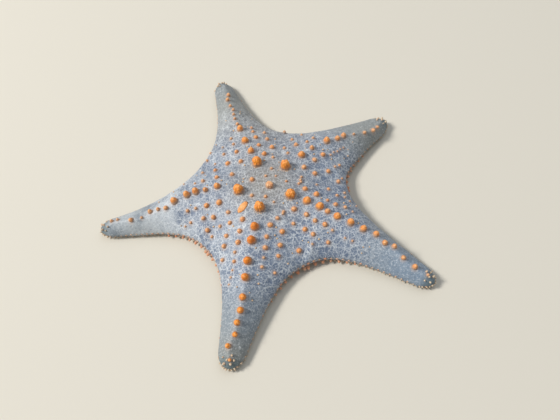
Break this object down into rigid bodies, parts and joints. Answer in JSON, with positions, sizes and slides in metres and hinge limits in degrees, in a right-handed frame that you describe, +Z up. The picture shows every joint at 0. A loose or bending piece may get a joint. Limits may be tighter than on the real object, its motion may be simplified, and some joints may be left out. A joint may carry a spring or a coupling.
{
  "type": "starfish",
  "caption": "Life-size still model of a horned sea star at rest, with a domed disc, tapering arms and conical tubercles.",
  "frame": {"origin": "middle of the footprint's box, on the floor under the mouth side", "axes": "+Z up out of the back of the disc; +Y is the direction that the viewer looks in, with one arm pointing nearly along it; +X to the viewer's right"},
  "size_m": [0.2232, 0.2372, 0.0311],
  "materials": {
    "skin": "living skin, blue-grey with a pale network, wet satin",
    "tubercle": "orange tubercles, wet satin",
    "oral": "pale cream mouth side"
  },
  "bodies": {
    "root": {"disc": "skin", "arm_1": "skin", "arm_2": "skin", "arm_3": "skin", "arm_4": "skin", "arm_5": "skin", "horn_1": "tubercle", "horn_2": "tubercle", "horn_3": "tubercle", "horn_4": "tubercle", "horn_5": "tubercle", "horn_centre": "tubercle", "madreporite": "tubercle", "jaw_1": "oral", "jaw_2": "oral", "jaw_3": "oral", "jaw_4": "oral", "jaw_5": "oral"}
  },
  "joints": []
}
